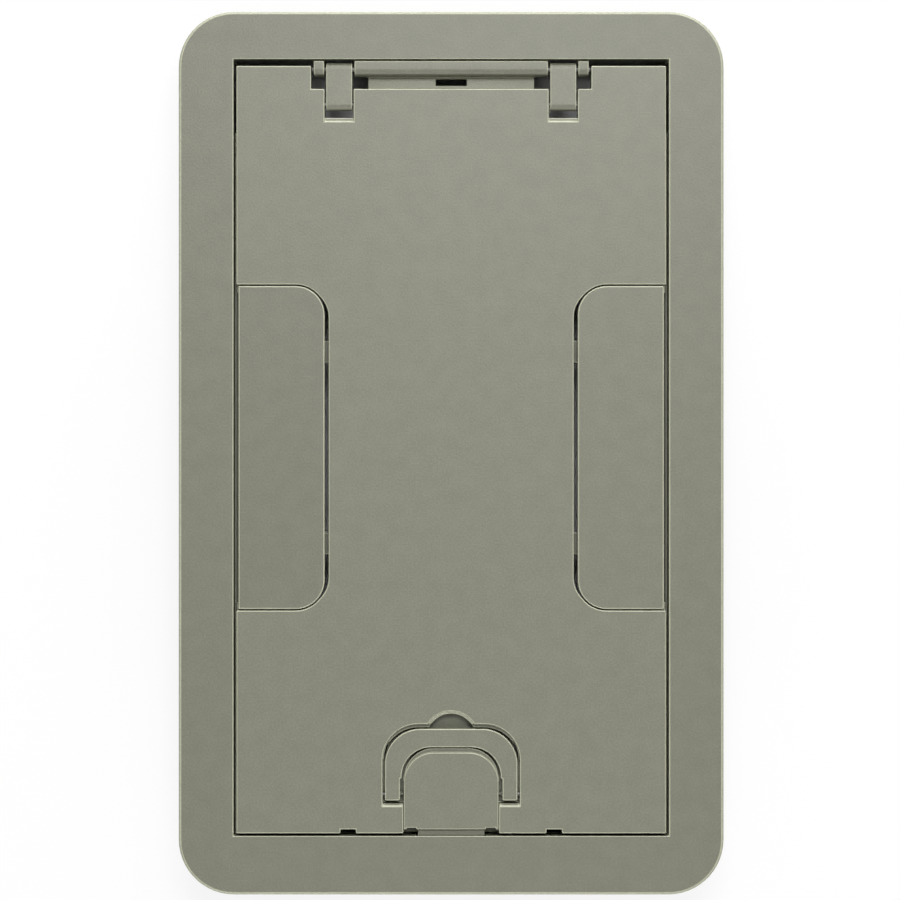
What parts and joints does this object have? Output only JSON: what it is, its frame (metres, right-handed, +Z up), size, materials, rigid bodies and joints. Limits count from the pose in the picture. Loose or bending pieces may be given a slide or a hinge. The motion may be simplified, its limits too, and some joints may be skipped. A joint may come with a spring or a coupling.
{
  "type": "floor box cover",
  "caption": "Recessed floor box cover: flanged frame, flush lid on double-pivot hinge arms, flip-up cable doors in its sides, and a flush bail handle that draws back the latch.",
  "frame": {"origin": "middle of the flange in plan, at the lower end of the skirt", "axes": "+Z up out of the floor, +Y towards the hinge, +X to the right seen from above with the hinge away"},
  "size_m": [0.1926, 0.312, 0.032],
  "materials": {
    "cast_coat": "die-cast metal with a fine-grained satin nickel-grey powder coat",
    "gasket_foam": "closed-cell foam",
    "seal_rubber": "matt black rubber",
    "pin_steel": "plain ground steel",
    "screw_steel": "zinc-plated steel"
  },
  "bodies": {
    "frame": {"frame": "cast_coat", "flange_gasket": "gasket_foam", "lid_seal": "seal_rubber", "mounting_screws": "screw_steel", "hinge_pin_left": "pin_steel", "hinge_pin_right": "pin_steel", "strike_clip": "cast_coat", "strike_screws": "screw_steel"},
    "hinge_arms": {"hinge_arm_left": "cast_coat", "hinge_arm_right": "cast_coat"},
    "lid": {"lid": "cast_coat", "lid_pin_left": "pin_steel", "lid_pin_right": "pin_steel", "door_pin_left": "pin_steel", "door_pin_right": "pin_steel", "bail_pins": "pin_steel", "latch_spring": "pin_steel"},
    "cable_door_left": {"cable_door_left": "cast_coat"},
    "cable_door_right": {"cable_door_right": "cast_coat"},
    "bail": {"bail_handle": "cast_coat"},
    "latch": {"latch_slide": "cast_coat", "latch_keeper": "screw_steel", "keeper_screws": "screw_steel"}
  },
  "joints": [
    {"name": "arms_swing", "type": "hinge", "parent": "frame", "child": "hinge_arms", "pos_m": [0, 0.1358, 0.0296], "axis": [-1, 0, 0], "range_deg": [0, 90], "deforming": ["strike_clip"]},
    {"name": "lid_swing", "type": "hinge", "parent": "hinge_arms", "child": "lid", "pos_m": [0, 0.1233, 0.0296], "axis": [-1, 0, 0], "range_deg": [0, 90]},
    {"name": "door_left_swing", "type": "hinge", "parent": "lid", "child": "cable_door_left", "pos_m": [-0.0407, 0.002, 0.0295], "axis": [0, 1, 0], "range_deg": [0, 100]},
    {"name": "door_right_swing", "type": "hinge", "parent": "lid", "child": "cable_door_right", "pos_m": [0.0407, 0.002, 0.0295], "axis": [0, -1, 0], "range_deg": [0, 100]},
    {"name": "bail_swing", "type": "hinge", "parent": "lid", "child": "bail", "pos_m": [0, -0.1206, 0.0298], "axis": [1, 0, 0], "range_deg": [0, 90]},
    {"name": "latch_draw", "type": "slide", "parent": "lid", "child": "latch", "axis": [0, 1, 0], "range_m": [0, 0.0015], "deforming": ["latch_spring"]}
  ],
  "couplings": [
    {"joint": "latch_draw", "follows": "bail_swing", "m_per_rad": 0.00095}
  ]
}
